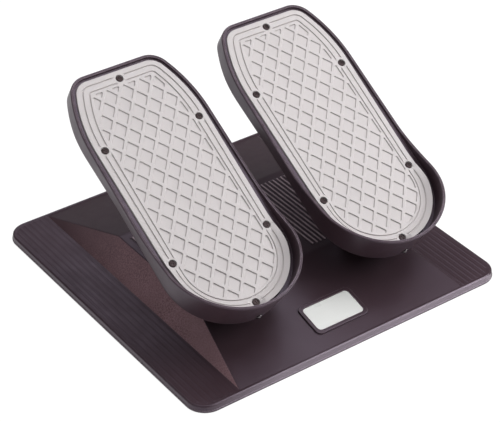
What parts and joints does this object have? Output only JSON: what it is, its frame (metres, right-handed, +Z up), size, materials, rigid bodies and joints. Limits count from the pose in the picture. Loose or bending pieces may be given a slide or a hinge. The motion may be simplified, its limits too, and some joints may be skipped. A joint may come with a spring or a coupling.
{
  "type": "foot pedal exerciser",
  "caption": "Floor plate with a raised hipped centre and foot pedals side by side, each tilting on a sprung pin under its heel.",
  "frame": {"origin": "under the middle of the base plate, level with the bottom of its rubber feet", "axes": "+X to the user's right across both pedals, +Y from the heels to the toes, +Z up"},
  "size_m": [0.38, 0.367, 0.2123],
  "materials": {
    "dark_plastic": "moulded, satin, warm near-black",
    "black_plastic": "moulded, matt black",
    "grey_plastic": "moulded, satin, light warm grey",
    "white_plastic": "smooth, off-white, plain",
    "rubber": "dull, dark grey",
    "steel": "zinc plated",
    "black_steel": "blackened",
    "brass": "sintered bearing bronze"
  },
  "bodies": {
    "base": {"base_shell": "dark_plastic", "base_cover": "black_plastic", "rubber_foot_front_left": "rubber", "rubber_foot_front_right": "rubber", "rubber_foot_back_left": "rubber", "rubber_foot_back_right": "rubber", "cover_screw_1": "black_steel", "cover_screw_2": "black_steel", "cover_screw_3": "black_steel", "cover_screw_4": "black_steel", "cover_screw_5": "black_steel", "cover_screw_6": "black_steel", "nameplate_frame": "dark_plastic", "nameplate": "white_plastic", "left_landing_pad": "rubber", "left_hinge_pedestal": "black_plastic", "left_hinge_pin": "steel", "left_torsion_spring": "steel", "left_pivot_bush_inner": "brass", "left_pin_clip_inner": "black_steel", "left_pedestal_screw_inner": "black_steel", "left_pivot_bush_outer": "brass", "left_pin_clip_outer": "black_steel", "left_pedestal_screw_outer": "black_steel", "right_landing_pad": "rubber", "right_hinge_pedestal": "black_plastic", "right_hinge_pin": "steel", "right_torsion_spring": "steel", "right_pivot_bush_inner": "brass", "right_pin_clip_inner": "black_steel", "right_pedestal_screw_inner": "black_steel", "right_pivot_bush_outer": "brass", "right_pin_clip_outer": "black_steel", "right_pedestal_screw_outer": "black_steel"},
    "left_pedal": {"left_pedal_shell": "dark_plastic", "left_tread": "grey_plastic", "left_tread_screw_1": "black_steel", "left_tread_screw_2": "black_steel", "left_tread_screw_3": "black_steel", "left_tread_screw_4": "black_steel", "left_tread_screw_5": "black_steel", "left_tread_screw_6": "black_steel", "left_hinge_bracket": "steel", "left_bracket_screw_1": "black_steel", "left_bracket_screw_2": "black_steel", "left_heel_rivet": "black_steel"},
    "right_pedal": {"right_pedal_shell": "dark_plastic", "right_tread": "grey_plastic", "right_tread_screw_1": "black_steel", "right_tread_screw_2": "black_steel", "right_tread_screw_3": "black_steel", "right_tread_screw_4": "black_steel", "right_tread_screw_5": "black_steel", "right_tread_screw_6": "black_steel", "right_hinge_bracket": "steel", "right_bracket_screw_1": "black_steel", "right_bracket_screw_2": "black_steel", "right_heel_rivet": "black_steel"}
  },
  "joints": [
    {"name": "left_pedal_tilt", "type": "hinge", "parent": "base", "child": "left_pedal", "pos_m": [-0.09115, -0.082, 0.053], "axis": [1, 0, 0], "range_deg": [-44, 0], "stiffness_Nm_per_rad": 4, "springref_deg": 28.65, "deforming": ["left_torsion_spring"]},
    {"name": "right_pedal_tilt", "type": "hinge", "parent": "base", "child": "right_pedal", "pos_m": [0.09115, -0.082, 0.053], "axis": [1, 0, 0], "range_deg": [-44, 0], "stiffness_Nm_per_rad": 4, "springref_deg": 28.65, "deforming": ["right_torsion_spring"]}
  ]
}
